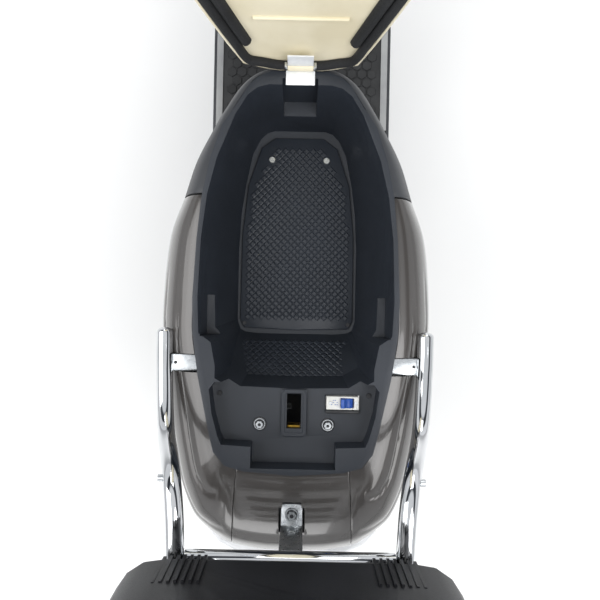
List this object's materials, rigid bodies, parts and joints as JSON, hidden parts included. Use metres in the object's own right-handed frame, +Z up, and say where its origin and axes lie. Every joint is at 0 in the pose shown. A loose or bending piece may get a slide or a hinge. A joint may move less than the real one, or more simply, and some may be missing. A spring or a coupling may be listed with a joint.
{
  "type": "electric moped scooter",
  "caption": "Step-through electric moped scooter standing on its centre stand with the seat swung open over the storage bin, chrome rear rails and a rear top case.",
  "frame": {"origin": "centre of the outline on the ground", "axes": "+X to the rider's right, +Y to the front, +Z up"},
  "size_m": [0.7068, 1.95, 1.2799],
  "materials": {
    "alloy": "painted silver",
    "battery_case": "satin",
    "bin_plastic": "fine grain",
    "black_plastic": "satin",
    "black_rubber": "matt",
    "breaker_white": "satin",
    "chrome": "polished",
    "dark_trim": "fine grain",
    "frame_paint": "satin",
    "glass": "clear",
    "grey_paint": "gloss",
    "lamp_white": "clear",
    "mat_rubber": "hexagon relief",
    "pan_plastic": "moulded",
    "seat_vinyl": "grained",
    "steel": "brushed",
    "toggle_blue": "satin",
    "tyre_rubber": "matt",
    "zinc": "zinc plated"
  },
  "bodies": {
    "chassis": {"frame": "frame_paint", "battery_pack": "battery_case", "motor_controller": "alloy", "floor_deck": "dark_trim", "floor_mat": "mat_rubber", "storage_bin": "bin_plastic", "battery_cover": "bin_plastic", "circuit_breaker": "breaker_white", "side_panel_right": "grey_paint", "side_panel_left": "grey_paint", "front_cover": "dark_trim", "tail_panel": "grey_paint", "tail_lamp": "lamp_white", "grab_rail_right": "chrome", "grab_rail_left": "chrome", "rack_plate": "chrome", "tail_bracket": "zinc", "top_case_base": "black_plastic", "rear_fender": "black_plastic", "plate_holder": "black_plastic", "leg_shield": "dark_trim", "front_fairing": "grey_paint", "splash_guard": "black_plastic", "hinge_bracket": "zinc"},
    "breaker_toggle": {"breaker_toggle": "toggle_blue"},
    "seat_lock_hook": {"seat_lock_hook": "steel"},
    "seat": {"seat_pan": "pan_plastic", "seat_cushion": "seat_vinyl"},
    "top_case_lid": {"top_case_lid": "black_plastic"},
    "top_case_latch": {"top_case_latch": "chrome"},
    "center_stand": {"center_stand": "frame_paint"},
    "side_stand": {"side_stand": "frame_paint"},
    "ignition_barrel": {"ignition_barrel": "steel"},
    "swingarm": {"swingarm": "frame_paint"},
    "rear_wheel": {"rear_rim": "alloy", "rear_tyre": "tyre_rubber"},
    "shock_upper_left": {"shock_upper_left": "chrome"},
    "shock_upper_right": {"shock_upper_right": "chrome"},
    "shock_lower_left": {"shock_lower_left": "black_plastic"},
    "shock_lower_right": {"shock_lower_right": "black_plastic"},
    "steering": {"fork_crown": "frame_paint", "handlebar": "frame_paint", "grip_left": "black_rubber", "control_left": "black_plastic", "control_right": "black_plastic", "handlebar_cowl": "grey_paint", "headlight_lens": "glass"},
    "fork": {"fork_lowers": "black_plastic", "front_fender": "grey_paint", "front_caliper": "black_plastic"},
    "front_wheel": {"front_rim": "alloy", "front_tyre": "tyre_rubber", "front_disc": "steel"},
    "throttle_grip": {"throttle_grip": "black_rubber"},
    "brake_lever_left": {"brake_lever_left": "alloy"},
    "brake_lever_right": {"brake_lever_right": "alloy"},
    "mirror_left": {"mirror_left": "black_plastic"},
    "mirror_right": {"mirror_right": "black_plastic"}
  },
  "joints": [
    {"name": "breaker_flip", "type": "hinge", "parent": "chassis", "child": "breaker_toggle", "pos_m": [0.074, -0.482, 0.664], "axis": [0, 1, 0], "range_deg": [0, 50]},
    {"name": "lock_hook_turn", "type": "hinge", "parent": "chassis", "child": "seat_lock_hook", "pos_m": [-0.026, -0.494, 0.654], "axis": [0, -1, 0], "range_deg": [0, 40], "stiffness_Nm_per_rad": 0.05, "springref_deg": -28.65},
    {"name": "seat_hinge", "type": "hinge", "parent": "chassis", "child": "seat", "pos_m": [0, -0.03, 0.708], "axis": [1, 0, 0], "range_deg": [0, 95]},
    {"name": "top_case_hinge", "type": "hinge", "parent": "chassis", "child": "top_case_lid", "pos_m": [0, -0.627, 0.952], "axis": [-1, 0, 0], "range_deg": [0, 75]},
    {"name": "top_case_flap", "type": "hinge", "parent": "chassis", "child": "top_case_latch", "pos_m": [0, -0.9717, 0.918], "axis": [1, 0, 0], "range_deg": [0, 60], "stiffness_Nm_per_rad": 0.02, "springref_deg": -34.38},
    {"name": "center_stand_pivot", "type": "hinge", "parent": "chassis", "child": "center_stand", "pos_m": [0, -0.3, 0.205], "axis": [1, 0, 0], "range_deg": [-75, 0]},
    {"name": "side_stand_pivot", "type": "hinge", "parent": "chassis", "child": "side_stand", "pos_m": [-0.154, -0.11, 0.24], "axis": [1, 0, 0], "range_deg": [0, 100], "stiffness_Nm_per_rad": 1, "springref_deg": -57.3},
    {"name": "ignition_turn", "type": "hinge", "parent": "chassis", "child": "ignition_barrel", "pos_m": [0.064, 0.386, 0.745], "axis": [0, 1, 0], "range_deg": [0, 90]},
    {"name": "swingarm_pivot", "type": "hinge", "parent": "chassis", "child": "swingarm", "pos_m": [0, -0.235, 0.265], "axis": [-1, 0, 0], "range_deg": [0, 10], "stiffness_Nm_per_rad": 4000, "springref_deg": -2.86},
    {"name": "rear_wheel_spin", "type": "hinge", "parent": "swingarm", "child": "rear_wheel", "pos_m": [0, -0.54, 0.219], "axis": [1, 0, 0], "continuous": true},
    {"name": "steering_turn", "type": "hinge", "parent": "chassis", "child": "steering", "pos_m": [0, 0.5669, 0.56], "axis": [0, -0.4384, 0.8988], "range_deg": [-40, 40]},
    {"name": "fork_slide", "type": "slide", "parent": "steering", "child": "fork", "axis": [0, -0.4384, 0.8988], "range_m": [0, 0.06], "stiffness_N_per_m": 15000, "springref_m": -0.035},
    {"name": "front_wheel_spin", "type": "hinge", "parent": "fork", "child": "front_wheel", "pos_m": [0, 0.76, 0.215], "axis": [1, 0, 0], "continuous": true},
    {"name": "throttle_turn", "type": "hinge", "parent": "steering", "child": "throttle_grip", "pos_m": [0.226, 0.329, 1.021], "axis": [0.9768, -0.2134, -0.0164], "range_deg": [0, 70], "stiffness_Nm_per_rad": 0.1, "springref_deg": -17.19},
    {"name": "shock_top_left", "type": "hinge", "parent": "chassis", "child": "shock_upper_left", "pos_m": [-0.118, -0.45, 0.54], "axis": [-1, 0, 0], "range_deg": [0, 2]},
    {"name": "shock_slide_left", "type": "slide", "parent": "shock_upper_left", "child": "shock_lower_left", "axis": [0, 0.1628, 0.9867], "range_m": [0, 0.046]},
    {"name": "brake_left", "type": "hinge", "parent": "steering", "child": "brake_lever_left", "pos_m": [-0.196, 0.372, 1.021], "axis": [0, 0, 1], "range_deg": [0, 12], "stiffness_Nm_per_rad": 2, "springref_deg": -11.46},
    {"name": "mirror_turn_left", "type": "hinge", "parent": "steering", "child": "mirror_left", "pos_m": [-0.196, 0.345, 1.05], "axis": [0, 0, 1], "range_deg": [-25, 25]},
    {"name": "shock_top_right", "type": "hinge", "parent": "chassis", "child": "shock_upper_right", "pos_m": [0.118, -0.45, 0.54], "axis": [-1, 0, 0], "range_deg": [0, 2]},
    {"name": "shock_slide_right", "type": "slide", "parent": "shock_upper_right", "child": "shock_lower_right", "axis": [0, 0.1628, 0.9867], "range_m": [0, 0.046]},
    {"name": "brake_right", "type": "hinge", "parent": "steering", "child": "brake_lever_right", "pos_m": [0.196, 0.372, 1.021], "axis": [0, 0, -1], "range_deg": [0, 12], "stiffness_Nm_per_rad": 2, "springref_deg": -11.46},
    {"name": "mirror_turn_right", "type": "hinge", "parent": "steering", "child": "mirror_right", "pos_m": [0.196, 0.345, 1.05], "axis": [0, 0, 1], "range_deg": [-25, 25]}
  ],
  "couplings": [
    {"joint": "shock_top_left", "follows": "swingarm_pivot", "ratio": 0.183},
    {"joint": "shock_slide_left", "follows": "swingarm_pivot", "m_per_rad": 0.2607},
    {"joint": "shock_top_right", "follows": "swingarm_pivot", "ratio": 0.183},
    {"joint": "shock_slide_right", "follows": "swingarm_pivot", "m_per_rad": 0.2607}
  ]
}
